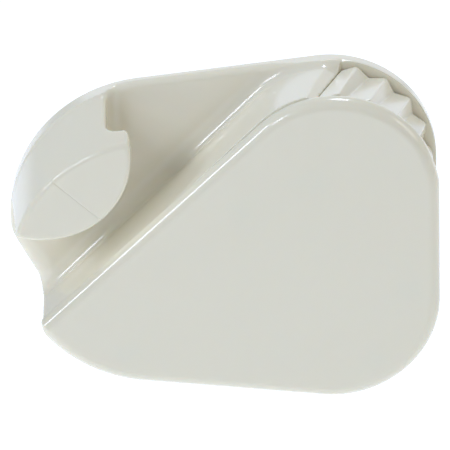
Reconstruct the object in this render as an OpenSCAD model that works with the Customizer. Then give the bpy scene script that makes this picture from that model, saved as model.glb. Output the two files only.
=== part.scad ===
// Cam cleat for a mast, post or bulkhead.
// The rope comes in at the lower left, runs under the hook and up the slanting
// channel, and leaves over the toothed cam at the upper right. Hauling swings the
// cam down and away from the rope, and the load swings it back against its stop.
// X runs along the cleat, Z up it, and the flat back that meets the mast is y = 0,
// so everything else lies at negative y.

/* [Body] */
// Overall length, from the hooked end to the cam end
body_l = 64; // [60:0.5:80]
// Overall height at the cam end
body_h = 50; // [46:0.5:60]
// Thickness, from the back to the front face
body_t = 15; // [13.5:0.25:20]
// Radius of the two corners at the cam end
corner_r = 16; // [15.5:0.25:19]
// Radius of the hooked end
nose_r = 22; // [20:0.25:23]
// Thickness of the back wall
back_t = 2.2; // [1.8:0.1:3]
// Thickness of the front cheek
cheek_t = 2; // [1.6:0.1:3]

/* [Channel] */
// How far the hooked end is cut back below the mouth
mouth_trim = 4.6; // [4:0.1:6]
// How far the rim's lower end lies below the middle of the body
mouth_drop = 11.5; // [10:0.25:13]
// How much smaller the rim's arc over the cam is than the body's corner
rim_trim = 0.5; // [0.2:0.1:1]
// How far the cheek's rim lies below the top of the body
rim_drop = 1; // [0.6:0.1:2.5]
// How far the channel's floor lies below the top of the body
floor_drop = 0.8; // [0.6:0.1:1.2]
// How much steeper the channel's floor climbs than the rim, in degrees
floor_lean = 1.5; // [0:0.25:2]
// Clear mouth between the hook and the cheek's rim
mouth_w = 5.8; // [5:0.1:8]
// Distance in from the hooked end to the centre of the hook's inner curve
hook_in = 5.5; // [4.5:0.25:7]
// Radius of the hook's inner curve
hook_r = 13; // [11:0.25:14]
// How far the hook's crown falls from the back to the front
hook_fall = 3.9; // [3:0.1:5]
// Thickness of the hook's free tip
tip_t = 4.6; // [3.5:0.1:6]
// Overhang of the hook's free tip
tip_l = 4; // [2:0.1:5]

/* [Cam] */
// How far the tips of the teeth stand above the channel's floor
tooth_rise = 0.2; // [0:0.1:0.5]
// Depth of the teeth
tooth_h = 1.2; // [0.6:0.1:1.4]
// Angle from tooth to tooth
tooth_step = 18; // [15:1:20]
// Number of teeth
teeth = 5; // [4:1:5]
// Slant of the teeth across the cam, in degrees round it
tooth_skew = 15; // [0:1:20]
// Distance of the pivot from the centre of the toothed arc
cam_throw = 3.2; // [2:0.1:4]
// Travel of the cam from its stop
cam_travel = 12; // [8:1:14]
// Diameter of the pivot pin
pin_d = 5; // [4:0.25:6]
// Diameter of the stop pin
stop_d = 2; // [1.5:0.25:2.5]
// Wire of the return spring
wire_d = 0.9; // [0.7:0.1:1]

/* [Fixings] */
// Distance between the two threaded inserts
bolt_step = 30; // [28:0.5:34]
// Thread of the mounting bolts
bolt_d = 5; // [4:1:6]
// Length of the threaded inserts
insert_l = 8; // [6:0.5:10]
// Thread of the screws that hold the cheek on
screw_d = 3; // [2.5:0.25:3.5]
// Diameter of the dowels that line the cheek up
dowel_d = 3; // [2:0.25:4]

/* [Hidden] */
$fn = 96;
over = 1;              // how far a cut runs past the face it opens
side_gap = 0.2;        // room round the cam's teeth
fit_gap = 0.05;        // running clearance on a radius or a face
slip_gap = 0.1;        // room round a piece that is dropped in
far = 4 * body_l;      // longer than anything here

function on_circle(c, r, a) = [c[0] + r * cos(a), c[1] + r * sin(a)];

// Outline: one circle at the hooked end, two at the cam end, joined by tangents.
nose = [nose_r - body_l / 2, 0];
corner = [body_l / 2 - corner_r, body_h / 2 - corner_r];
side_turn = atan2(corner[1], corner[0] - nose[0]) + acos((nose_r - corner_r) / norm(corner - nose));
mouth = [mouth_trim - body_l / 2, -mouth_drop];  // lower end of the rim
mouth_turn = 118;                                // slant of the wall's end above it

// Channel: the cheek's rim climbs at ramp_turn and the floor a little more steeply, and
// each runs tangent into its own arc over the cam end.
floor_w = body_t - back_t - cheek_t;
cheek_back = -(body_t - cheek_t);
rim_in = 0.1;                                    // how far the rim's arc clears the body's end
rim_r = corner_r - rim_trim;
rim = [body_l / 2 - rim_in - rim_r, body_h / 2 - rim_drop - rim_r];
ramp_turn = atan2(rim[1] - mouth[1], rim[0] - mouth[0]) + asin(rim_r / norm(rim - mouth));
rim_foot = on_circle(rim, rim_r, ramp_turn + 90);
floor_r = corner_r - floor_drop;
function along(d) = rim_foot - d * [cos(ramp_turn), sin(ramp_turn)];
function rise(d) = d * [-sin(ramp_turn), cos(ramp_turn)];

// Hook: its face lies between the outline's arc, let down by hook_fall, and the
// hook's inner curve, whose centre stands off the rim line by mouth_w.
hook_off = hook_r + mouth_w;
hook_run = (rim_foot[0] - hook_off * sin(ramp_turn) + body_l / 2 - hook_in) / cos(ramp_turn);
hook = along(hook_run) + rise(hook_off);
hook_tilt = atan(hook_fall / body_t);
root_x = hook[0] + hook_r - tip_l;               // the tip runs free to the right of this

// Cam: a toothed arc about the corner's centre, turning on a pivot beside it.
cam_r = floor_r + tooth_rise;
cam_w = floor_w - 2 * side_gap;
pivot_turn = 150;
pivot = on_circle(corner, cam_throw, pivot_turn);
cam_back = -(back_t + (floor_w - cam_w) / 2);
cam_front = cam_back - cam_w;
first_valley = 91;                               // at mid width, from +X
low_edge = first_valley - teeth * tooth_step - 12;
low_edge_at = corner - [0, 1.5];                 // the cam's lower side points at this
low_edge_end = turned(low_edge_at, cam_travel);  // and at this when it has swung down
pocket_gap = 0.6;                                // room left below it there
pocket_low = low_edge - cam_travel - 1;          // lower side of the cam's pocket
pocket_at = low_edge_end + pocket_gap * [sin(pocket_low), -cos(pocket_low)];
function turned(p, a) = pivot + [(p - pivot) * [cos(a), sin(a)], (p - pivot) * [-sin(a), cos(a)]];
tooth_bite = 6.5;                                // angle taken by a tooth's steep face
skew_tilt = atan(cam_r * tooth_skew * PI / 180 / cam_w);
valley_r = cam_r - tooth_h;
neck_r = 3.9;
bush_r = 3.2;
boss_r = 4.4;
boss_t = 0.8;
washer_t = 0.5;
washer_r = 4.6;
hub_back = -(back_t + boss_t + washer_t + 2 * fit_gap);
hub_front = cheek_back + boss_t + washer_t + 2 * fit_gap;
pin_r = pin_d / 2;
pin_head_r = 4;
pin_head_t = 1;
pin_skin = 0.7;                                  // left in front of the pin's end

// Stop pin, in an arc-shaped slot that stops the cam at both ends of its travel.
stop_r = stop_d / 2;
stop_run = 9.2;
stop_turn = 18;
stop = on_circle(pivot, stop_run, stop_turn);
stop_bite = 1.2;                                 // how deep the pin sits in each wall

// Return spring: a coil round the cam's neck, one leg in the body and one in the cam.
wire_r = wire_d / 2;
turns = 2;
coil_r = neck_r + wire_r + 0.35;
coil_pitch = wire_d + 0.1;
coil_back = hub_back - wire_r - 0.2;
well_r = coil_r + wire_r + 0.35;                 // the cam's spring well
well_t = turns * coil_pitch + 2 * wire_d + 0.3;
hub_r = well_r + 1.1;
leg_turn = 238;                                  // where the coil starts, from +X
leg_l = 7.6;
leg_gap = 0.15;
leg_in = acos(coil_r / well_r);                  // the leg leaves the well and the hub
leg_out = acos(coil_r / hub_r);                  // at these angles from the coil's start
leg_swing = 8;                                   // room each side of the fixed leg
tang_l = 1.6;

// Fixings, as points in the plane of the plates.
insert_r = bolt_d / 2 + 1.2;
insert_z = -corner[1] - 0.5;
insert_mid = 3;
inserts = [[insert_mid - bolt_step / 2, insert_z], [insert_mid + bolt_step / 2, insert_z]];
screw_r = screw_d / 2;
head_r = screw_d * 0.95;
screw_boss_r = screw_r + 1.5;
screw_boss_l = 4.6;
screw_room = 0.6;                                // left in front of the screw's tip
edge_in = 4.8;                                   // from the outline in to a screw
screws = [on_circle(nose, nose_r - edge_in, 255), along(11.5) + rise(-8),
    [body_l / 2 - edge_in, -7], on_circle([corner[0], -corner[1]], corner_r - edge_in, -58)];
dowel_r = dowel_d / 2;
dowel_skin = 0.5;                                // left between the dowels and the inserts' depth
dowel_l = body_t - cheek_t / 2 - insert_l - slip_gap - dowel_skin;
dowel_back = dowel_l - cheek_t / 2;              // how much of a dowel is in the body
dowels = [along(23.3) + rise(-6.6), [8.5, -body_h / 2 + 6.5]];

// A solid from a drawing in X and Z, from the depth y towards the front.
module slab(y, t) {
    translate([0, y, 0]) rotate([90, 0, 0]) linear_extrude(t) children();
}

// A round solid along Y at a point [x, z], from the depth y towards the front.
module rod(at, r, y, t) {
    translate([at[0], y, at[1]]) rotate([90, 0, 0]) cylinder(h = t, r = r);
}

// A cone along Y, for a countersunk head and its seat.
module taper(at, r_back, r_front, y, t) {
    translate([at[0], y, at[1]]) rotate([90, 0, 0]) cylinder(h = t, r1 = r_back, r2 = r_front);
}

// A wedge of the plane about a point, from angle a0 round to a1.
module wedge(p, a0, a1) {
    mid = (a0 + a1) / 2;
    polygon([p, on_circle(p, far, a0), on_circle(p, far, mid), on_circle(p, far, a1)]);
}

module outline() {
    top = [on_circle(nose, nose_r, side_turn), on_circle(corner, corner_r, side_turn)];
    translate(nose) circle(nose_r);
    for (s = [-1, 1]) translate([corner[0], s * corner[1]]) circle(corner_r);
    polygon([top[0], top[1], corner, [body_l / 2, corner[1]], [body_l / 2, -corner[1]],
        [corner[0], -corner[1]], [top[1][0], -top[1][1]], [top[0][0], -top[0][1]], nose]);
}

// The outline with its hooked end cut away at the channel's mouth.
module wall_shape() {
    difference() {
        outline();
        polygon([mouth, on_circle(mouth, far, mouth_turn), on_circle(mouth, far, 180), mouth - [0, far]]);
    }
}

// The outline under a circle and the line that climbs to it at the angle turn.
module under_arc(c, r, turn) {
    foot = on_circle(c, r, turn + 90);
    intersection() {
        wall_shape();
        union() {
            translate(c) circle(r);
            difference() {
                translate(foot) rotate(turn) translate([-far, -2 * far]) square([2 * far, 2 * far]);
                translate([foot[0], c[1]]) square(2 * far);
            }
        }
    }
}

// A frame on the slanted line of a tooth's valley: local Z points out from the
// corner's centre, X clockwise across the valley, and Y along it.
module on_valley(turn) {
    translate([corner[0], (cam_back + cam_front) / 2, corner[1]])
        rotate([0, 90 - turn, 0]) rotate([0, 0, -skew_tilt]) children();
}

// The cut for one valley: a steep side back to the last tip, a gentle one on to the next.
module valley_cut(turn) {
    ease = tooth_step - tooth_bite;
    on_valley(turn)
        translate([0, body_t, 0]) rotate([90, 0, 0]) linear_extrude(2 * body_t)
            polygon([[0, valley_r], [cam_r * sin(ease), cam_r * cos(ease)],
                [cam_r * sin(ease), 2 * cam_r], [-2 * cam_r * sin(tooth_bite), 2 * cam_r],
                [-cam_r * sin(tooth_bite), cam_r * cos(tooth_bite)]]);
}

// All that lies past the slanted end of the ramp, moved clockwise by gap.
module past_ramp(gap) {
    on_valley(first_valley) translate([gap, -far / 2, -far / 2]) cube(far);
}

// Room for the cam over its whole travel, open at the end of the body.
module cam_pocket() {
    intersection() {
        slab(-back_t, floor_w + over) wedge(pocket_at, pocket_low, 140);
        past_ramp(0);
    }
    rod(pivot, hub_r + side_gap, -back_t, floor_w + over);
}

module hook_solid() {
    intersection() {
        union() {
            slab(-back_t / 2, body_t - back_t / 2)
                intersection() {
                    translate(hook) circle(hook_r);
                    translate([root_x - far, -far / 2]) square([far, far]);
                }
            slab(-(body_t - tip_t), tip_t) translate(hook) circle(hook_r);
        }
        translate([nose[0], 0, nose[1]])
            rotate([90 + hook_tilt, 0, 0]) translate([0, 0, -body_t]) cylinder(h = 3 * body_t, r = nose_r);
    }
}

// The slot for the spring's fixed leg, open to the front so that the cam drops in
// with its spring on.
module leg_room() {
    translate([pivot[0], coil_back + wire_r + leg_gap, pivot[1]])
        rotate([0, -leg_turn, 0])
            translate([coil_r - wire_r - leg_gap, -body_t, -leg_l - leg_gap])
                cube([wire_d + 2 * leg_gap, body_t, leg_l + leg_gap - coil_r]);
}

// The window in the cam's hub that the fixed leg swings in.
module leg_window() {
    slab(over, over - coil_back + wire_r + leg_gap)
        difference() {
            wedge(pivot, leg_turn - leg_out - leg_swing, leg_turn - leg_in + leg_swing + cam_travel);
            translate(pivot) circle(neck_r);
        }
}

module back_body() {
    color("ivory")
        difference() {
            union() {
                slab(0, back_t) wall_shape();
                slab(-back_t / 2, floor_w + back_t / 2) under_arc(corner, floor_r, ramp_turn + floor_lean);
                hook_solid();
            }
            difference() {
                cam_pocket();
                rod(pivot, boss_r, -back_t, boss_t);
            }
            intersection() {
                valley_cut(first_valley);
                slab(-back_t, floor_w + over) square(far, center = true);
            }
            rod(pivot, pin_r, over, body_t);
            rod(pivot, pin_head_r + slip_gap, over, over + pin_head_t + slip_gap);
            rod(stop, stop_r, -back_t + stop_bite, back_t);
            for (at = screws) {
                rod(at, screw_r + slip_gap, over, body_t);
                taper(at, head_r + slip_gap, screw_r + slip_gap, 0, head_r - screw_r);
                rod(at, screw_boss_r + slip_gap, cheek_back + screw_boss_l + slip_gap, body_t);
            }
            for (at = inserts) rod(at, insert_r, over, over + slip_gap + insert_l);
            for (at = dowels) rod(at, dowel_r, cheek_back + dowel_back, dowel_l);
            leg_room();
        }
}

module front_cheek() {
    color("ivory")
        difference() {
            union() {
                slab(cheek_back, cheek_t) under_arc(rim, rim_r, ramp_turn);
                rod(pivot, boss_r, cheek_back + boss_t, boss_t + cheek_t / 2);
                for (at = screws)
                    rod(at, screw_boss_r, cheek_back + screw_boss_l, screw_boss_l + cheek_t / 2);
            }
            rod(pivot, pin_r, cheek_back + body_t, body_t + cheek_t - pin_skin);
            rod(stop, stop_r, cheek_back + body_t, body_t + stop_bite);
            for (at = screws) rod(at, screw_r, cheek_back + body_t, body_t + cheek_t - screw_room);
            for (at = dowels) rod(at, dowel_r, cheek_back + over, over + cheek_t / 2);
        }
}

// The cam's outline: the toothed sector with its round hub.
module cam_shape() {
    intersection() {
        translate(corner) circle(cam_r);
        wedge(low_edge_at, low_edge, 150);
    }
}

// The slot for the stop pin, from its rest round to the end of the travel.
module stop_slot() {
    w = stop_r + fit_gap;
    intersection() {
        difference() {
            translate(pivot) circle(stop_run + w);
            translate(pivot) circle(stop_run - w);
        }
        wedge(pivot, stop_turn, stop_turn + cam_travel);
    }
    for (a = [0, cam_travel]) translate(on_circle(pivot, stop_run, stop_turn + a)) circle(w);
}

module cam() {
    color("ivory")
        difference() {
            union() {
                intersection() {
                    slab(cam_back, cam_w) cam_shape();
                    past_ramp(side_gap);
                }
                rod(pivot, hub_r, cam_back, cam_w);
            }
            for (k = [0:teeth - 1]) valley_cut(first_valley - k * tooth_step);
            rod(pivot, bush_r, over, body_t * 2);
            rod(pivot, boss_r + 0.8, over, over - hub_back);
            rod(pivot, boss_r + 0.8, hub_front, body_t);
            difference() {
                rod(pivot, well_r, over, over - hub_back + well_t);
                rod(pivot, neck_r, over, body_t * 2);
            }
            slab(over, body_t * 2) stop_slot();
            leg_window();
            translate(tang_at()) rotate([90, 0, 0]) cylinder(h = tang_l + leg_gap, r = wire_r + fit_gap);
        }
}

module cam_bush() {
    color("dimgray")
        difference() {
            rod(pivot, bush_r, hub_back, hub_back - hub_front);
            rod(pivot, pin_r + fit_gap, over, body_t * 2);
        }
}

module cam_pin() {
    color("silver") {
        rod(pivot, pin_r, -pin_head_t / 2, body_t - pin_skin - pin_head_t / 2);
        rod(pivot, pin_head_r, -slip_gap, pin_head_t);
    }
}

module thrust_washer(y) {
    color("silver")
        difference() {
            rod(pivot, washer_r, y, washer_t);
            rod(pivot, pin_r + slip_gap, y + over, washer_t + 2 * over);
        }
}

module washer_back() thrust_washer(-(back_t + boss_t + fit_gap));
module washer_front() thrust_washer(cheek_back + boss_t + fit_gap + washer_t);

// Where the coil ends and its tang enters the floor of the cam's spring well.
function tang_at() = let (p = on_circle(pivot, coil_r, leg_turn + 360 * turns))
    [p[0], hub_back - well_t + 0.01, p[1]];

// The coil, with a straight leg off its back end and a tang along Y off its front end.
module cam_spring() {
    steps = 28;
    n = turns * steps;
    coil = [for (i = [0:n]) [coil_r * cos(360 * i / steps), coil_back - coil_pitch * i / steps,
        coil_r * sin(360 * i / steps)]];
    path = concat([[coil_r, coil_back, -leg_l]], coil, [[coil_r, hub_back - well_t - tang_l, 0]]);
    color("gainsboro") translate([pivot[0], 0, pivot[1]]) rotate([0, -leg_turn, 0]) wire(path);
}

// A round wire swept along a list of points about the Y axis.
module wire(path) {
    sides = 10;
    last = len(path) - 1;
    rings = [for (i = [0:last]) let (
        way = path[min(i + 1, last)] - path[max(i - 1, 0)],
        t = way / norm(way),
        out = [path[i][0], 0, path[i][2]],
        side = out - (out * t) * t,
        u = side / norm(side),
        v = cross(t, u))
        for (j = [0:sides - 1]) path[i] + wire_r * (cos(360 * j / sides) * u + sin(360 * j / sides) * v)];
    skin = [for (i = [0:last - 1]) for (j = [0:sides - 1])
        let (a = i * sides + j, b = i * sides + (j + 1) % sides) [a, a + sides, b + sides, b]];
    polyhedron(rings, concat(skin, [[for (j = [0:sides - 1]) j]],
        [[for (j = [sides - 1:-1:0]) last * sides + j]]));
}

module stop_pin() {
    color("silver") rod(stop, stop_r, -back_t + stop_bite, floor_w + 2 * stop_bite);
}

module screw(at) {
    tip = body_t - screw_room - 1;
    color("silver")
        difference() {
            union() {
                rod(at, screw_r, -0.5, tip - 0.5);
                taper(at, head_r, screw_r, -slip_gap, head_r - screw_r);
            }
            translate([at[0], over - slip_gap, at[1]])
                rotate([90, 0, 0]) cylinder(h = over + 1.1, r = screw_r * 0.75, $fn = 6);
        }
}

module screw_1() screw(screws[0]);
module screw_2() screw(screws[1]);
module screw_3() screw(screws[2]);
module screw_4() screw(screws[3]);

module insert(at) {
    color("goldenrod")
        difference() {
            rod(at, insert_r, -slip_gap, insert_l);
            rod(at, bolt_d / 2, over, body_t);
        }
}

module insert_left() insert(inserts[0]);
module insert_right() insert(inserts[1]);

module dowel(at) {
    color("silver") rod(at, dowel_r, cheek_back + dowel_back, dowel_l);
}

module dowel_left() dowel(dowels[0]);
module dowel_right() dowel(dowels[1]);

back_body();
front_cheek();
cam();
cam_bush();
cam_pin();
washer_front();
washer_back();
cam_spring();
stop_pin();
screw_1();
screw_2();
screw_3();
screw_4();
insert_left();
insert_right();
dowel_left();
dowel_right();
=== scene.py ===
# %% [markdown]
# # A cam cleat in glossy white nylon
# The cleat is bolted to a mast by its flat back. A rope goes in at the lower left,
# under a hooked nose, up a slanting channel, and out over a toothed cam. The model of
# its working parts comes in as a fixed frame, and this file gives it the soft, rounded
# surfaces that an injection-moulded part has.

# %% Load the frame
import math

import bpy
import numpy as np
from mathutils import Matrix, Vector


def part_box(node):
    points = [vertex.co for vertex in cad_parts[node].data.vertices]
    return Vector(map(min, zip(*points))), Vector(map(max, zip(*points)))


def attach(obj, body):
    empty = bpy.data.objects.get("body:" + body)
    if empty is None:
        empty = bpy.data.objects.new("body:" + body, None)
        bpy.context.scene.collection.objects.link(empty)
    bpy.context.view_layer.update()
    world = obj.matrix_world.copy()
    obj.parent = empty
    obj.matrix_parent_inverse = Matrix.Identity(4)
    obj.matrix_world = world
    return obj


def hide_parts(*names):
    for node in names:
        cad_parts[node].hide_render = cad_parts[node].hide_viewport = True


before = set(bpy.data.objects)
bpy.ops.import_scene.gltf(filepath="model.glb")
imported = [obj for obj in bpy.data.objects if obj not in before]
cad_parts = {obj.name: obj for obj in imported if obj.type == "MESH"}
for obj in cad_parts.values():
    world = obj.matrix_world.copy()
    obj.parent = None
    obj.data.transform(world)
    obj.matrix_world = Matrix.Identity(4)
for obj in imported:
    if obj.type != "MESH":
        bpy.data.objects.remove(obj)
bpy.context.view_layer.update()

MM = 0.001
print("nodes:", ", ".join(sorted(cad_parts)))

# %% [markdown]
# Every size below is in millimetres and is either read from the frame's own boxes or
# is one of the design's plain radii. X runs along the cleat, Z up it, and the back is
# at y = 0, so the front face is at y = -THICK.

# %% Sizes
body_low, body_high = [np.array(c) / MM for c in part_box("back_body")]
cheek_low = np.array(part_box("front_cheek")[0]) / MM
pin_low, pin_high = [np.array(c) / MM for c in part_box("cam_pin")]
cam_low, cam_high = [np.array(c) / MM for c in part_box("cam")]
HALF_L = float(body_high[0])
HALF_H = round(float(body_high[2]))       # the frame's facets stop just short of it
THICK = -float(cheek_low[1])
CORNER_R, NOSE_R = 16.0, 22.0
CORNER = np.array([HALF_L - CORNER_R, HALF_H - CORNER_R])
NOSE = np.array([NOSE_R - HALF_L, 0.0])
WALL_T, CHEEK_T = 2.2, 2.0
JOINT_Y = -(THICK - CHEEK_T)
FLOOR_DROP, TOOTH_RISE = 0.8, 0.2        # floor under the outline, teeth over the floor
FLOOR_R = CORNER_R - FLOOR_DROP
CAM_R = FLOOR_R + TOOTH_RISE
RIM_R, RIM_IN = 15.5, (0.1, 1.0)         # the rim stands this far in at the end and the top
RIM = np.array([HALF_L - RIM_IN[0] - RIM_R, HALF_H - RIM_IN[1] - RIM_R])
MOUTH_TRIM, MOUTH_DROP = 4.6, 11.5
MOUTH = np.array([MOUTH_TRIM - HALF_L, -MOUTH_DROP])  # lower end of the rim
CLIMB = math.atan2(*(RIM - MOUTH)[::-1]) + math.asin(RIM_R / np.hypot(*(RIM - MOUTH)))
LEAN = math.radians(1.5)                 # the floor climbs a little more steeply
PIVOT = (pin_low + pin_high)[[0, 2]] / 2
CAM_BACK, CAM_FRONT = float(cam_high[1]), float(cam_low[1])
centre = {n: (np.array(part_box(n)[0]) + np.array(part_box(n)[1]))[[0, 2]] / 2 / MM
          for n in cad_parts}
SCREWS = [centre[n] for n in sorted(centre) if n.startswith("screw")]
INSERTS = [centre["insert_left"], centre["insert_right"]]
DOWELS = [centre["dowel_left"], centre["dowel_right"]]
STOP = centre["stop_pin"]
EDGE = 0.1                               # a cut edge, hardly rounded
print("cleat %.1f x %.1f x %.1f mm, pivot at %s" % (2 * HALF_L, 2 * HALF_H, THICK, PIVOT.round(2)))

# %% [markdown]
# A moulded part is one skin with a small radius on every edge and a larger one in every
# inside corner. Sweeping each of those by hand leaves seams where they meet, so the
# skins here are worked out from a distance field: a function that gives, for any point,
# how far it lies outside the solid (negative inside). Solids are then joined and cut by
# small formulas that round the edge where they meet by a radius of one's choice.


# %% Joining and cutting rounded solids
def both(a, b, r):
    """The part in both a and b: the larger distance, with a quarter round of radius r
    where the two faces meet."""
    return np.minimum(np.maximum(a, b), -r) + np.hypot(np.maximum(a + r, 0), np.maximum(b + r, 0))


def either(a, b, r):
    """The part in a or b: the smaller distance, with a hollow of radius r in the corner."""
    return np.maximum(np.minimum(a, b), r) - np.hypot(np.maximum(r - a, 0), np.maximum(r - b, 0))


def between(v, low, high):
    """Distance outside the slab from low to high: the larger of low - v and v - high."""
    return np.maximum(low - v, v - high)


def rod(x, z, at, r):
    """Distance outside a long cylinder along Y: that from its axis, less its radius."""
    return np.hypot(x - at[0], z - at[1]) - r


def stub(x, y, z, at, r, front, back):
    """Distance outside a short cylinder along Y, from depth front to depth back."""
    return both(rod(x, z, at, r), between(y, front, back), EDGE)


def above(x, z, at, turn):
    """Distance below the line through a point in the direction turn, negative above it:
    x sin(turn) - z cos(turn), both measured from the point."""
    return (x - at[0]) * math.sin(turn) - (z - at[1]) * math.cos(turn)


print("a corner rounded by 1 mm stands %.2f mm inside the sharp one" % both(0, 0, 1))

# %% [markdown]
# The plates' outline is a big circle at the nose and two smaller ones at the cam end,
# joined by straight tangents. For a shape that bulges everywhere, the distance is the
# largest reading over all the straight edges that just touch it. The direction of that
# edge is the direction from the circle's centre, held within the arc it covers.


# %% The outline and the ramp
def touching(x, z, centre, r, low, high):
    """Distance outside an arc and the tangents at its two ends: the point's reach along
    the direction from the centre, with that direction held between low and high."""
    mid, half = (low + high) / 2, (high - low) / 2
    turn = np.arctan2(z - centre[1], x - centre[0]) - mid
    turn = mid + np.clip((turn + math.pi) % (2 * math.pi) - math.pi, -half, half)
    return (x - centre[0]) * np.cos(turn) + (z - centre[1]) * np.sin(turn) - r


def side_turn():
    """The direction in which the long tangent faces."""
    run = CORNER - NOSE
    return math.atan2(run[1], run[0]) + math.acos((NOSE_R - CORNER_R) / np.hypot(*run))


SIDE_TURN = side_turn()


def outline(x, z):
    """Distance outside the plates' outline, which is the same above and below."""
    z = np.abs(z)
    return np.maximum(touching(x, z, CORNER, CORNER_R, 0, SIDE_TURN),
                      touching(x, z, NOSE, NOSE_R, SIDE_TURN, math.pi))


ARC_END = math.radians(20)               # the arc over the cam ends here, above +X


def under_arc(x, z, centre, r, climb):
    """Distance above an arc over the cam and the line that climbs to it."""
    return touching(x, z, centre, r, ARC_END, climb + math.pi / 2)


print("the long sides face %.1f degrees from +X" % math.degrees(SIDE_TURN))

# %% [markdown]
# The skin itself is found on a grid: each grid cell that the surface passes through gets
# one point, and neighbouring cells' points are joined as squares. The points are then
# moved down the field's slope until they lie on the surface exactly, so the grid's size
# shows only on the sharpest edges.


# %% The slope and the grid
def slope(field, p, reach=0.01):
    """The field's gradient at the points p, from its change over a small step."""
    out = np.empty_like(p)
    for k in range(3):
        step = np.zeros(3)
        step[k] = reach
        a, b = p + step, p - step
        out[:, k] = (field(*a.T) - field(*b.T)) / (2 * reach)
    return out


def ruled(low, high, cell, fine):
    """Grid planes from low to high, three times as close around each depth in fine."""
    planes = np.arange(low, high + cell, cell)
    near = [np.arange(v - 1.5 * cell, v + 1.5 * cell, cell / 3) + cell / 6 for v in fine]
    planes = planes[[all(abs(p - v) > 1.6 * cell for v in fine) for p in planes]]
    planes = np.unique(np.concatenate([planes, *near]))
    return planes[np.append(True, np.diff(planes) > cell / 6)]


print("planes near a fine depth:", ruled(0.0, 2.0, 0.5, (1.0,)).round(2))

# %% [markdown]
# The net has one point in each cell that the surface passes through, at the mean of the
# places where it crosses the cell's twelve edges. Each grid edge that it crosses is shared
# by four cells, and their four points make one square, wound so that it faces outwards.


# %% The net
def net(field, axes):
    """Points and squares of the surface where field is zero, on a grid of three axes: a
    crossing lies at fa / (fa - fb) of the edge from a to b."""
    f = field(*np.meshgrid(*axes, indexing="ij")).astype(np.float32)
    inside = f < 0
    cut = [slice(None, -1), slice(1, None)]
    corners = [(i, j, k) for i in (0, 1) for j in (0, 1) for k in (0, 1)]
    count = sum(inside[cut[i], cut[j], cut[k]].astype(np.int8) for i, j, k in corners)
    busy = (count > 0) & (count < 8)
    cells = np.argwhere(busy)
    number = np.full(busy.shape, -1)
    number[busy] = np.arange(len(cells))
    total, hits = np.zeros((len(cells), 3)), np.zeros(len(cells))
    for a in corners:
        for k in range(3):
            if a[k] == 0:
                b = tuple(1 if i == k else a[i] for i in range(3))
                fa, fb = f[tuple((cells + a).T)], f[tuple((cells + b).T)]
                crossed = (fa < 0) != (fb < 0)
                part = np.where(crossed, fa / np.where(crossed, fa - fb, 1), 0)
                total += crossed[:, None] * (np.array(a) + part[:, None] * (np.array(b) - a))
                hits += crossed
    places = cells + total / hits[:, None]
    points = np.stack([np.interp(places[:, k], np.arange(len(ax)), ax) for k, ax in enumerate(axes)], 1)
    squares = []
    for k in range(3):
        i, j = (k + 1) % 3, (k + 2) % 3
        near = [slice(1, -1)] * 3
        near[k] = slice(None, -1)
        far = list(near)
        far[k] = slice(1, None)
        first, second = inside[tuple(near)], inside[tuple(far)]
        at = np.argwhere(first != second) + [0 if n == k else 1 for n in range(3)]
        ring = []
        for di, dj in ((1, 1), (0, 1), (0, 0), (1, 0)):
            back = np.zeros(3, int)
            back[i], back[j] = di, dj
            ring.append(number[tuple((at - back).T)])
        ring = np.stack(ring, 1)
        flip = ~inside[tuple(at.T)]
        ring[flip] = ring[flip][:, ::-1]
        squares.append(ring)
    return points, np.concatenate(squares)


ball_axes = [np.linspace(-1.5, 1.5, 13)] * 3
ball = net(lambda x, y, z: np.sqrt(x * x + y * y + z * z) - 1, ball_axes)
print("a ball on a coarse grid has %d points and %d squares" % (len(ball[0]), len(ball[1])))

# %% [markdown]
# A net alone looks faceted. Its points are settled on to the exact surface, and the shading
# normals come from the field's own slope, so highlights run as on the true rounded form.


# %% From a field to a mesh
def settle(field, points, cell, rounds=5):
    """Moves the points down the slope on to the surface, each time by the distance over the
    slope's square, and never further than 0.6 of a cell along each axis."""
    start = points.copy()
    for _ in range(rounds):
        g = slope(field, points)
        size = np.maximum((g * g).sum(1), 0.05)
        points = points - g * (field(*points.T) / size)[:, None]
        points = start + np.clip(points - start, -0.6 * cell, 0.6 * cell)
    return points


def moulding(name, field, low, high, cell, fine):
    """A mesh object of the field's skin, smooth, with its normals from the field's slope."""
    axes = [ruled(low[k], high[k], cell, fine if k == 1 else ()) for k in range(3)]
    points, squares = net(field, axes)
    points = settle(field, points, cell)
    mesh = bpy.data.meshes.new(name)
    mesh.from_pydata(points * MM, [], squares)
    mesh.polygons.foreach_set("use_smooth", np.ones(len(squares), bool))
    mesh.update()
    at = np.empty(len(mesh.vertices) * 3)
    mesh.vertices.foreach_get("co", at)
    lean = slope(field, at.reshape(-1, 3) / MM, 0.02)
    mesh.normals_split_custom_set_from_vertices(lean / np.linalg.norm(lean, axis=1)[:, None])
    obj = bpy.data.objects.new(name, mesh)
    bpy.context.scene.collection.objects.link(obj)
    print(name, "has", len(points), "points and", 2 * len(squares), "triangles")
    return obj


print("ready to mould", len(SCREWS), "screw holes,", len(INSERTS), "pockets and", len(DOWELS), "dowels")

# %% [markdown]
# The housing is one moulding: the back wall, the solid ramp whose top is the channel's
# floor, and the hooked nose. The floor runs into the wall with a generous hollow, as
# rope-bearing corners do. The nose is a prism with a round inner face, topped by the
# plates' own curve let down towards the front, and it flares into the wall.

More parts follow.
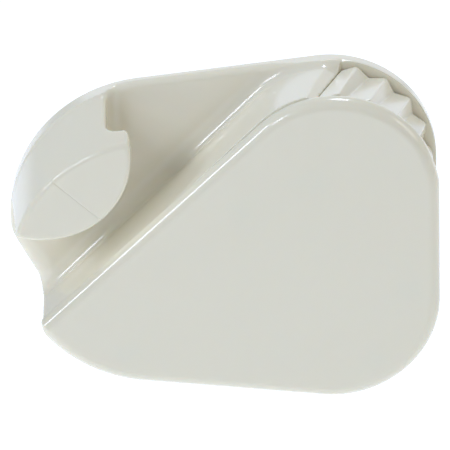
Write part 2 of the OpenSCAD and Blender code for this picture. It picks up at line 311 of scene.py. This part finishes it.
# %% The housing's field
HOOK_R, HOOK_FALL, HOOK_IN = 13.0, 3.9, 5.5
TIP_T, TIP_L, MOUTH_W = 3.8, 3.6, 5.8
LENS_EDGE, ROOT_HOLLOW, ROOT_EDGE = 0.7, 2.4, 0.9
NOSE_BACK = 0.6                          # the nose stops this far short of the back
FLARE = 0.6                              # the wall's end is rounded over a longer run
MOUTH_EDGE, MOUTH_HOLLOW = 0.6, 1.0
CLIMB_DIR = np.array([math.cos(CLIMB), math.sin(CLIMB)])
OFF_DIR = np.array([-math.sin(CLIMB), math.cos(CLIMB)])
HOOK_X, HOOK_OFF = HOOK_IN - HALF_L, HOOK_R + MOUTH_W
HOOK = RIM + (RIM_R + HOOK_OFF) * OFF_DIR
HOOK = HOOK - CLIMB_DIR * (HOOK[0] - HOOK_X) / CLIMB_DIR[0]
ROOT_X = HOOK[0] + HOOK_R - TIP_L
MOUTH_TURN = math.radians(118)


def wall_end(x, z):
    """Distance past the straight cut across the wall's end, above the mouth's corner: the
    reach from that corner at right angles to the cut."""
    away = math.cos(MOUTH_TURN + math.pi / 2), math.sin(MOUTH_TURN + math.pi / 2)
    return (x - MOUTH[0]) * away[0] + (z - MOUTH[1]) * away[1]


def plate(x, z):
    """Distance outside the outline with its mouth end cut away."""
    return both(outline(x, z), either(MOUTH[0] - x, wall_end(x, z), MOUTH_HOLLOW), MOUTH_EDGE)


def hook(x, y, z):
    """The nose: a round-bottomed prism under a crown that falls towards the front, cut
    back behind its free tip."""
    lens = rod(x, z, HOOK, HOOK_R)
    fall = HOOK_FALL * np.clip((-WALL_T - y) / (THICK - WALL_T), 0, 1)
    crown = outline(x, z + fall) * math.cos(math.atan(HOOK_FALL / (THICK - WALL_T)))
    face = both(lens, crown, LENS_EDGE)
    face = both(face, -THICK - y, LENS_EDGE)
    root = either(x - ROOT_X, y + THICK - TIP_T, ROOT_HOLLOW)
    return both(both(face, root, ROOT_EDGE), y + NOSE_BACK, 0.3)


print("the hook's circle stands at", HOOK.round(2), "and its root at x", round(float(ROOT_X), 2))

# %% [markdown]
# The teeth run across the cam on a slant, and the end of the ramp carries the first steep
# face. One valley is two planes that meet in a line: `across` turns a point into its
# distance past that line and its height over the arc's centre, and `valley` takes the
# lower of the two planes. Cutting the same V at equal steps round the centre gives the saw.

# %% The teeth's valleys
TEETH, STEP, FIRST = 5, math.radians(18), math.radians(91)  # the first valley is almost on top
BITE = math.radians(6.5)                 # the part of a step that the steep side takes
TOOTH_H, TOOTH_SKEW, TOOTH_EDGE = 1.2, math.radians(15), 0.12
VALLEY_R = CAM_R - TOOTH_H
CAM_MID = (CAM_BACK + CAM_FRONT) / 2
SKEW = math.atan(CAM_R * TOOTH_SKEW / (CAM_BACK - CAM_FRONT))


def across(x, y, z, turn):
    """Distance clockwise past the slanted line of a valley, and height above the centre."""
    dx, dz = x - CORNER[0], z - CORNER[1]
    along = dx * math.sin(turn) - dz * math.cos(turn)
    return (along * math.cos(SKEW) - (y - CAM_MID) * math.sin(SKEW),
            dx * math.cos(turn) + dz * math.sin(turn))


def valley(x, y, z, turn):
    """Distance above a valley's two sides: a steep one back to the last tip and a gentle
    one on to the next."""
    u, w = across(x, y, z, turn)
    sides = []
    for a in (-BITE, STEP - BITE):
        run, rise = CAM_R * math.sin(a), CAM_R * math.cos(a) - VALLEY_R
        sides.append(((w - VALLEY_R) * abs(run) - u * rise * np.sign(run)) / math.hypot(run, rise))
    return either(sides[0], sides[1], TOOTH_EDGE)


print("%d teeth, %.1f mm apart, slanting by %.1f degrees" % (TEETH, CAM_R * STEP, math.degrees(SKEW)))

# %% [markdown]
# Behind the teeth the ramp is hollowed out for the cam. The hollow is a sector as deep as
# the cam's swing needs, and a round room for its hub. The holes are plain cylinders with
# the sizes of what goes in them, and a countersink is a cone: the distance from the axis
# less a radius that shrinks with depth.

# %% The housing's holes and the cam's pocket
LOW_EDGE = FIRST - TEETH * STEP - math.radians(12)
LOW_AT = CORNER - [0, 1.5]
TRAVEL, POCKET_GAP, POCKET_TOP = math.radians(12), 0.6, math.radians(140)
CAM_GAP = 0.2                            # between the cam and the ramp beside it
WALL_Y = -WALL_T
HUB_BACK, HUB_FRONT = -(WALL_T + 1.4), JOINT_Y + 1.4
NECK_R, WELL_R, HUB_R, COIL_R, WIRE_R = 3.9, 5.5, 6.6, 4.7, 0.45
BOSS_R, BOSS_T = 4.4, 0.8
PIN_R, PIN_HEAD_R, PIN_HEAD_T = 2.5, 4.1, 1.1
SCREW_R, HEAD_R, THREAD_R = 1.6, 2.95, 1.5
SCREW_BOSS_R, SCREW_BOSS_L = 3.0, 4.6
BOSS_ROOM_R, BOSS_ROOM_Y = 3.1, -8.3
STOP_R, STOP_DEEP = 1.0, 1.0
INSERT_R, INSERT_DEEP = 3.7, 8.1
DOWEL_R, DOWEL_Y = 1.5, -8.0
LEG_TURN, LEG_ROOM, LEG_REACH = math.radians(238), 0.6, 7.75
COIL_BACK = HUB_BACK - WIRE_R - 0.2


def swung(p, a):
    """A point turned down about the pivot by the angle a: its arm (dx, dz) becomes
    (dx cos a + dz sin a, dz cos a - dx sin a)."""
    d = p - PIVOT
    return PIVOT + [d[0] * math.cos(a) + d[1] * math.sin(a), d[1] * math.cos(a) - d[0] * math.sin(a)]


def pocket(x, y, z):
    """Room for the cam's sector over its swing, and for its round hub."""
    low = LOW_EDGE - TRAVEL - math.radians(1)
    at = swung(LOW_AT, TRAVEL) + POCKET_GAP * np.array([math.sin(low), -math.cos(low)])
    room = np.maximum(above(x, z, at, low), -above(x, z, at, POCKET_TOP))
    room = both(room, -across(x, y, z, FIRST)[0], EDGE)
    room = either(room, rod(x, z, PIVOT, HUB_R + CAM_GAP), 0.3)
    return np.maximum(room, y - WALL_Y)


def leg_slot(x, y, z):
    """The slot for the spring's fixed leg."""
    dx, dz = x - PIVOT[0], z - PIVOT[1]
    u = dx * math.cos(LEG_TURN) + dz * math.sin(LEG_TURN)
    v = -dx * math.sin(LEG_TURN) + dz * math.cos(LEG_TURN)
    room = np.maximum(between(u, COIL_R - LEG_ROOM, COIL_R + LEG_ROOM), between(v, -LEG_REACH, -COIL_R))
    return np.maximum(room, y - COIL_BACK - LEG_ROOM)


def screw_holes(x, y, z):
    """Clearance holes with countersinks behind and boss rooms in front."""
    best = np.full(np.shape(x), 99.0)
    for at in SCREWS:
        r = rod(x, z, at, 0)
        cone = (r - HEAD_R - y) * math.sqrt(0.5)
        room = both(r - BOSS_ROOM_R, y - BOSS_ROOM_Y, EDGE)
        best = np.minimum(best, np.minimum(np.minimum(r - SCREW_R, cone), room))
    return best


def back_holes(x, y, z):
    """The pin's bore and head, the stop pin, the inserts and the dowels."""
    head = both(rod(x, z, PIVOT, PIN_HEAD_R), -PIN_HEAD_T - y, EDGE)
    holes = np.minimum(rod(x, z, PIVOT, PIN_R), head)
    holes = np.minimum(holes, np.maximum(rod(x, z, STOP, STOP_R), y + STOP_DEEP))
    for at in INSERTS:
        holes = np.minimum(holes, np.maximum(rod(x, z, at, INSERT_R), -INSERT_DEEP - y))
    for at in DOWELS:
        holes = np.minimum(holes, np.maximum(rod(x, z, at, DOWEL_R), y - DOWEL_Y))
    return np.minimum(holes, screw_holes(x, y, z))


print("the cam swings down by %.0f degrees in its pocket" % math.degrees(TRAVEL))

# %% [markdown]
# Now the housing can be put together. The order matters: wall and ramp are joined with a
# hollow first and the nose is flared on to the wall. Such a hollow also swells the places
# where both parts end in the same face, so the result is trimmed back to the plates'
# outline. Then the rooms are cut, and the small boss under the cam's washer is set back.

# %% The housing
WALL_EDGE, BACK_EDGE, FLOOR_HOLLOW, NOSE_HOLLOW = 1.2, 0.4, 2.6, 2.2
RAMP_EDGE, ROOM_EDGE = 0.2, 0.12
RAMP_BACK, BOSS_BACK = -0.5, -1.0        # both end inside the wall, out of sight


def housing(x, y, z):
    """Wall, ramp and nose in one, less the cam's pocket and all the holes."""
    wall = both(plate(x, z), -WALL_T - y, WALL_EDGE)
    wall = both(wall, both(wall_end(x, z) * FLARE, -WALL_T - y, WALL_T), EDGE)
    wall = both(wall, y, BACK_EDGE)
    ramp = both(plate(x, z), under_arc(x, z, CORNER, FLOOR_R, CLIMB + LEAN), RAMP_EDGE)
    ramp = both(ramp, valley(x, y, z, FIRST), TOOTH_EDGE)
    ramp = both(ramp, between(y, JOINT_Y, RAMP_BACK), EDGE)
    solid = either(wall, ramp, FLOOR_HOLLOW)
    solid = either(solid, hook(x, y, z), NOSE_HOLLOW)
    solid = np.maximum(solid, both(plate(x, z), y, BACK_EDGE))
    room = either(pocket(x, y, z), leg_slot(x, y, z), EDGE)
    boss = stub(x, y, z, PIVOT, BOSS_R, WALL_Y - BOSS_T, BOSS_BACK)
    solid = either(both(solid, -room, ROOM_EDGE), boss, EDGE)
    return both(solid, -back_holes(x, y, z), ROOM_EDGE)


body = moulding("housing_skin", housing, (-HALF_L - 1, -THICK - 1, -HALF_H - 1),
                (HALF_L + 1, 1, HALF_H + 1), 0.36, (JOINT_Y, -WALL_T, 0))
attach(body, "housing")
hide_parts("back_body")

# %% [markdown]
# The front cheek is a flat plate under the rim, with a front edge rounded over nearly its
# whole thickness. It catches the long highlight that runs up beside the channel and round
# over the cam. Behind it stand the bosses for the screws and the pivot.

# %% The front cheek
CHEEK_EDGE, RIM_EDGE, JOINT_EDGE = 1.85, 0.5, 0.06
PIN_SKIN, SCREW_SKIN, STOP_BITE, DOWEL_BITE = 0.7, 0.6, 1.2, 1.0


def cheek(x, y, z):
    """A plate with the outline's shape under the rim, well rounded on its front edge,
    with the bosses and blind holes that stand behind it."""
    shape = both(plate(x, z), under_arc(x, z, RIM, RIM_R, CLIMB), RIM_EDGE)
    shape = both(shape, -THICK - y, CHEEK_EDGE)
    shape = both(shape, y - JOINT_Y, JOINT_EDGE)
    shape = either(shape, stub(x, y, z, PIVOT, BOSS_R, -THICK + 1, JOINT_Y + BOSS_T), EDGE)
    holes = np.maximum(rod(x, z, PIVOT, PIN_R), -THICK + PIN_SKIN - y)
    holes = np.minimum(holes, np.maximum(rod(x, z, STOP, STOP_R), JOINT_Y - STOP_BITE - y))
    for at in SCREWS:
        boss = stub(x, y, z, at, SCREW_BOSS_R, -THICK + 1, JOINT_Y + SCREW_BOSS_L)
        shape = either(shape, boss, EDGE)
        holes = np.minimum(holes, np.maximum(rod(x, z, at, THREAD_R), -THICK + SCREW_SKIN - y))
    for at in DOWELS:
        holes = np.minimum(holes, np.maximum(rod(x, z, at, DOWEL_R), JOINT_Y - DOWEL_BITE - y))
    return both(shape, -holes, EDGE)


front = moulding("front_cheek_skin", cheek, (-HALF_L - 1, -THICK - 1, -HALF_H - 1),
                 (HALF_L + 1, JOINT_Y + SCREW_BOSS_L + 1, HALF_H + 1), 0.3, (JOINT_Y, -THICK))
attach(front, "housing")
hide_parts("front_cheek")

# %% [markdown]
# The cam is the only piece that moves. It is a sector of a disc whose centre lies beside
# its pivot, so that it rises towards the rope as it turns. A slot for the stop pin, a well
# for the spring and a window for the spring's fixed leg are cut in it. Its grid is finer
# than the housing's, because the teeth are the smallest shapes in sight.

# %% The cam's slots
STOP_ROOM, WELL_DEEP, TANG_R, TANG_DEEP = 1.05, 4.1, 0.5, 5.9
LEG_WINDOW = -52.6, -11.3                # degrees on from the leg's own angle


def cam_slots(x, y, z):
    """The stop pin's curved slot, the window for the spring's leg and the tang's hole."""
    dx, dz = x - PIVOT[0], z - PIVOT[1]
    run, turn = math.hypot(*(STOP - PIVOT)), math.atan2(*(STOP - PIVOT)[::-1])
    slot = np.abs(np.hypot(dx, dz) - run) - STOP_ROOM
    ends = [STOP, swung(STOP, -TRAVEL)]
    inside = np.maximum(-above(x, z, PIVOT, turn + TRAVEL), above(x, z, PIVOT, turn))
    slot = np.minimum(np.maximum(slot, inside), np.minimum(*[rod(x, z, p, STOP_ROOM) for p in ends]))
    low, high = [LEG_TURN + math.radians(v) for v in LEG_WINDOW]
    window = np.maximum(-above(x, z, PIVOT, high), above(x, z, PIVOT, low))
    window = np.maximum(np.maximum(window, NECK_R - np.hypot(dx, dz)), COIL_BACK - LEG_ROOM - y)
    tang = PIVOT + COIL_R * np.array([math.cos(LEG_TURN), math.sin(LEG_TURN)])
    hole = np.maximum(rod(x, z, tang, TANG_R), HUB_BACK - TANG_DEEP - y)
    return np.minimum(np.minimum(slot, window), hole)


print("the stop pin's slot is %.2f mm wide" % (2 * STOP_ROOM))

# %% [markdown]
# The cam itself is the sector and its hub in one, with a valley cut for each tooth. The
# ends of the hub are set in for the thrust washers, and its bore takes the bush.

# %% The cam
CAM_TOP, BUSH_R = math.radians(150), 3.2
TIP_EDGE, SIDE_EDGE = 0.4, 0.25


def cam_skin(x, y, z):
    """A sector of a disc with slanting saw teeth and a round hub, bored for its bush and
    hollowed behind for its spring."""
    sector = np.maximum(above(x, z, LOW_AT, LOW_EDGE), -above(x, z, LOW_AT, CAM_TOP))
    sector = both(rod(x, z, CORNER, CAM_R), sector, TIP_EDGE)
    sector = both(sector, CAM_GAP - across(x, y, z, FIRST)[0], TOOTH_EDGE)
    solid = either(sector, rod(x, z, PIVOT, HUB_R), 0.3)
    for k in range(TEETH):
        solid = both(solid, valley(x, y, z, FIRST - k * STEP), TOOTH_EDGE)
    solid = both(solid, between(y, CAM_FRONT, CAM_BACK), SIDE_EDGE)
    ring = np.hypot(x - PIVOT[0], z - PIVOT[1])
    well = np.maximum(np.maximum(ring - WELL_R, NECK_R - ring), HUB_BACK - WELL_DEEP - y)
    ends = np.maximum(ring - BOSS_R - BOSS_T, np.minimum(HUB_BACK - y, y - HUB_FRONT))
    holes = np.minimum(np.minimum(ring - BUSH_R, well), np.minimum(ends, cam_slots(x, y, z)))
    return both(solid, -holes, EDGE)


cam = moulding("cam_skin", cam_skin, cam_low - 0.5, cam_high + 0.5, 0.18, (CAM_FRONT, CAM_BACK))
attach(cam, "cam")
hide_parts("cam")

# %% [markdown]
# Every finish is a small node tree over the piece's own coordinates, so it stays on the
# piece when the cam turns. Glossy moulded plastic is never quite even: the colour drifts
# slightly, the gloss varies, and shallow sink marks bend the reflections. A little
# scattering under the surface warms the corners, where light passes between faces many
# times. Metals get marks drawn out along the way they were turned or drawn.


# %% Helpers for node trees
def nodes_of(name):
    """A new material, its node tree and its shader."""
    m = bpy.data.materials.new(name)
    m.use_nodes = True
    return m, m.node_tree, m.node_tree.nodes["Principled BSDF"]


def grain(tree, scale, stretch=(1, 1, 1), detail=3.0):
    """Noise over the piece's own coordinates, with its features scale per metre."""
    place = tree.nodes.new("ShaderNodeTexCoord")
    squash = tree.nodes.new("ShaderNodeMapping")
    noise = tree.nodes.new("ShaderNodeTexNoise")
    squash.inputs["Scale"].default_value = stretch
    noise.inputs["Scale"].default_value = scale
    noise.inputs["Detail"].default_value = detail
    tree.links.new(place.outputs["Object"], squash.inputs["Vector"])
    tree.links.new(squash.outputs["Vector"], noise.inputs["Vector"])
    return noise.outputs["Fac"]


def spread(tree, value, low, high):
    """The noise's middle range spread out from low to high."""
    ramp = tree.nodes.new("ShaderNodeMapRange")
    ramp.inputs["From Min"].default_value, ramp.inputs["From Max"].default_value = 0.3, 0.7
    ramp.inputs["To Min"].default_value, ramp.inputs["To Max"].default_value = low, high
    tree.links.new(value, ramp.inputs["Value"])
    return ramp.outputs["Result"]


def tint(tree, value, first, second):
    """A colour that runs from first to second with the value."""
    mix = tree.nodes.new("ShaderNodeMix")
    mix.data_type = "RGBA"
    mix.inputs["A"].default_value, mix.inputs["B"].default_value = (*first, 1), (*second, 1)
    tree.links.new(value, mix.inputs["Factor"])
    return mix.outputs["Result"]


def ripple(tree, shader, value, height):
    """Lifts the surface's normals by the value times height, in metres."""
    bump = tree.nodes.new("ShaderNodeBump")
    bump.inputs["Strength"].default_value = 1.0
    bump.inputs["Distance"].default_value = height
    tree.links.new(value, bump.inputs["Height"])
    tree.links.new(bump.outputs["Normal"], shader.inputs["Normal"])


def maths(tree, kind, a, b=None):
    """A Math node of one kind, fed by other nodes' outputs or plain numbers."""
    node = tree.nodes.new("ShaderNodeMath")
    node.operation = kind
    for socket, v in zip(node.inputs, (a, b)):
        if isinstance(v, (int, float)):
            socket.default_value = v
        elif v is not None:
            tree.links.new(v, socket)
    return node.outputs["Value"]


print("the frame brings", len(bpy.data.materials), "plain materials, which the finishes replace")

# %% [markdown]
# A two-part mould leaves a fine line where its halves meet, and on the hook's face it can be
# seen. It could be cut into the mesh, but it is thinner than a grid cell, so it is drawn in
# the bump instead: a ridge function of the distance from a slanting line.

# %% The nylon
SEAM_AT, SEAM_TURN, SEAM_W = (-0.0254, 0.0122), math.radians(-42.8), 0.00016
SEAM_END, SEAM_DEPTH = -0.017, 5.0       # where it stops in X, and its depth in sink marks
SINK_DEPTH = 0.00001


def seam(tree, at, turn, width):
    """One on the mould's parting line across the hook's face, falling to nothing at its
    width: the distance x sin(turn) - z cos(turn), kept to the face by limits in x and y."""
    place, split = tree.nodes.new("ShaderNodeTexCoord"), tree.nodes.new("ShaderNodeSeparateXYZ")
    tree.links.new(place.outputs["Object"], split.inputs["Vector"])
    x = maths(tree, "MULTIPLY", maths(tree, "SUBTRACT", split.outputs["X"], at[0]), math.sin(turn))
    z = maths(tree, "MULTIPLY", maths(tree, "SUBTRACT", split.outputs["Z"], at[1]), math.cos(turn))
    off = maths(tree, "ABSOLUTE", maths(tree, "SUBTRACT", x, z))
    line = maths(tree, "MAXIMUM", maths(tree, "SUBTRACT", 1.0, maths(tree, "DIVIDE", off, width)), 0.0)
    on_hook = maths(tree, "LESS_THAN", split.outputs["X"], SEAM_END)
    in_front = maths(tree, "LESS_THAN", split.outputs["Y"], -(THICK - 0.4) * MM)
    return maths(tree, "MULTIPLY", line, maths(tree, "MULTIPLY", on_hook, in_front))


def moulded_nylon():
    """Glossy ivory plastic: faint clouds of colour and gloss, very shallow sink marks, and
    the fine groove of the mould's parting line."""
    m, tree, shader = nodes_of("moulded_nylon")
    clouds = grain(tree, 60)
    tree.links.new(tint(tree, clouds, (0.83, 0.78, 0.625), (0.815, 0.76, 0.60)),
                   shader.inputs["Base Color"])
    tree.links.new(spread(tree, grain(tree, 900), 0.12, 0.2), shader.inputs["Roughness"])
    groove = maths(tree, "MULTIPLY", seam(tree, SEAM_AT, SEAM_TURN, SEAM_W), SEAM_DEPTH)
    sinks = grain(tree, 160, detail=1.0)
    ripple(tree, shader, maths(tree, "SUBTRACT", sinks, groove), SINK_DEPTH)
    shader.inputs["IOR"].default_value = 1.53
    shader.inputs["Subsurface Weight"].default_value = 0.25
    shader.inputs["Subsurface Radius"].default_value = (1.0, 0.75, 0.45)
    shader.inputs["Subsurface Scale"].default_value = 0.0015
    return m


nylon = moulded_nylon()
print(nylon.name, "has", len(nylon.node_tree.nodes), "nodes")

# %% [markdown]
# Pins, screws, washers and dowels are stainless steel, the spring is drawn wire, the inserts
# are turned brass and the bush is a dark bearing plastic. One function makes all the metals,
# since they differ only in colour, gloss and the way their marks run.


# %% Metals and the bush
METAL_MARKS, TURNING_MARKS = 0.000003, 0.000002  # metres deep


def metal(name, colour, rough, stretch, scale):
    """Bare metal with fine marks drawn out along its long direction."""
    m, tree, shader = nodes_of(name)
    lines = grain(tree, scale, stretch)
    darker = tuple(0.86 * c for c in colour)
    tree.links.new(tint(tree, lines, colour, darker), shader.inputs["Base Color"])
    tree.links.new(spread(tree, lines, rough - 0.06, rough + 0.08), shader.inputs["Roughness"])
    ripple(tree, shader, lines, METAL_MARKS)
    shader.inputs["Metallic"].default_value = 1.0
    return m


def dark_acetal():
    """Black bearing plastic, satin, with turning marks round it."""
    m, tree, shader = nodes_of("dark_acetal")
    marks = grain(tree, 1500, (0.2, 2, 0.2))
    tree.links.new(tint(tree, marks, (0.022, 0.022, 0.024), (0.034, 0.034, 0.036)),
                   shader.inputs["Base Color"])
    tree.links.new(spread(tree, marks, 0.38, 0.5), shader.inputs["Roughness"])
    ripple(tree, shader, marks, TURNING_MARKS)
    return m


stainless = metal("stainless_steel", (0.60, 0.60, 0.59), 0.24, (1, 1, 0.15), 1800)
wire = metal("spring_wire", (0.48, 0.47, 0.45), 0.3, (1, 3, 1), 900)
brass = metal("turned_brass", (0.76, 0.56, 0.24), 0.28, (0.3, 4, 0.3), 1200)
acetal = dark_acetal()
print("finishes:", ", ".join(m.name for m in (nylon, stainless, wire, brass, acetal)))

# %% [markdown]
# Each skin and each solid of the frame gets one finish. The frame's own solids keep their
# shapes: only their materials change. The three that the skins replace wear the nylon too.


# %% Put the finishes on
def wear(obj, m):
    """Takes off whatever materials the piece has and gives it this one."""
    obj.data.materials.clear()
    obj.data.materials.append(m)


for o in (body, front, cam):
    wear(o, nylon)
finish = {"cam_bush": acetal, "cam_spring": wire, "insert_left": brass, "insert_right": brass}
for n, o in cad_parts.items():
    wear(o, nylon if n in ("cam", "back_body", "front_cheek") else finish.get(n, stainless))
print(len(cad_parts), "solids of the frame and 3 skins have their finishes")

# %% [markdown]
# The cleat is seen square from the side with its channel, from about 25 degrees above,
# through a long lens, so the plates' outline keeps its true shape. The camera is rolled by
# about a degree, and its frame is shifted a little to set the cleat in its place.

# %% Camera
ELEV, ROLL = math.radians(25.5), math.radians(1.26)
DIST, SHOWN = 0.9, 0.0672                # metres away, and metres across the frame there
SENSOR = 36
SHIFT = 0.00244, 0.00933                 # parts of the frame's width
AIM = Vector((0.0, -THICK / 2 * MM, 0.0))
cam_data = bpy.data.cameras.new("camera")
cam_data.sensor_width = SENSOR
cam_data.lens = SENSOR * DIST / SHOWN
cam_data.clip_start, cam_data.clip_end = 0.05, 10
camera = bpy.data.objects.new("camera", cam_data)
bpy.context.scene.collection.objects.link(camera)
back = Vector((0, -math.cos(ELEV), math.sin(ELEV)))
turn = (-back).to_track_quat("-Z", "Y").to_matrix()
turn = turn @ Matrix.Rotation(-ROLL, 3, "Z")
camera.matrix_world = Matrix.Translation(AIM + back * DIST) @ turn.to_4x4()
cam_data.shift_x, cam_data.shift_y = SHIFT
bpy.context.scene.camera = camera
print("lens %.0f mm, %.2f m from the cleat" % (cam_data.lens, DIST))

# %% [markdown]
# White on white needs light that draws the edges. A small key from the upper left throws
# the hook's soft shadow into the channel, a narrow strip beside it draws the bright lines
# along the rim and the floor's hollow, a lamp overhead lights the teeth's rising faces,
# and a warm fill from the right keeps their steep faces beige. A wide card behind is seen
# only as a sheen on faces that are looked at along their length.

# %% Lamps
scene = bpy.context.scene
scene.view_settings.view_transform = "Standard"
world = bpy.data.worlds.new("studio")
scene.world = world
world.use_nodes = True
world.node_tree.nodes["Background"].inputs["Color"].default_value = (0.88, 0.97, 1.12, 1)
world.node_tree.nodes["Background"].inputs["Strength"].default_value = 0.33


def softbox(name, at, size, power, colour=(0.90, 0.97, 1.13)):
    """A flat lamp at a point in metres, of a size in metres and a power in watts, turned to
    face the cleat."""
    data = bpy.data.lights.new(name, "AREA")
    data.shape, data.size, data.size_y, data.energy = "RECTANGLE", size[0], size[1], power
    data.color = colour
    lamp = bpy.data.objects.new(name, data)
    lamp.location = at
    lamp.rotation_euler = (Vector(at)).to_track_quat("Z", "Y").to_euler()
    scene.collection.objects.link(lamp)


softbox("key", (-0.50, -0.50, 0.48), (0.18, 0.18), 1.0)
softbox("overhead", (0.10, 0.14, 0.70), (0.16, 0.16), 1.6)
softbox("left_strip", (-0.67, -0.25, 0.37), (0.08, 0.2), 1.2)
softbox("backdrop", (0.12, 0.75, 0.3), (1.0, 0.6), 1.6)
softbox("right_fill", (0.66, -0.12, 0.34), (0.3, 0.3), 0.75, (1.0, 0.93, 0.8))

# %% [markdown]
# The cleat hangs over a plain white sheet, large enough to fill every view. The sheet glows
# a little, so that it stays as pale as a lit studio background without a shadow.

# %% Floor
SPREAD, BELOW = 3.0, 0.05
under = float(body_low[2]) * MM - BELOW
floor_mesh = bpy.data.meshes.new("floor")
floor_mesh.from_pydata([(x, y, under) for x, y in ((-SPREAD, -SPREAD), (SPREAD, -SPREAD),
                                                   (SPREAD, SPREAD), (-SPREAD, SPREAD))],
                       [], [(0, 1, 2, 3)])
floor = bpy.data.objects.new("floor", floor_mesh)
scene.collection.objects.link(floor)
paper, paper_tree, paper_shader = nodes_of("white_paper")
paper_tree.links.new(tint(paper_tree, grain(paper_tree, 40), (0.95, 0.95, 0.95), (0.93, 0.93, 0.93)),
                     paper_shader.inputs["Base Color"])
paper_shader.inputs["Roughness"].default_value = 0.9
paper_shader.inputs["Emission Color"].default_value = (0.90, 0.98, 1.12, 1)
paper_shader.inputs["Emission Strength"].default_value = 0.38
wear(floor, paper)
print("the sheet lies at z %.3f m" % under)
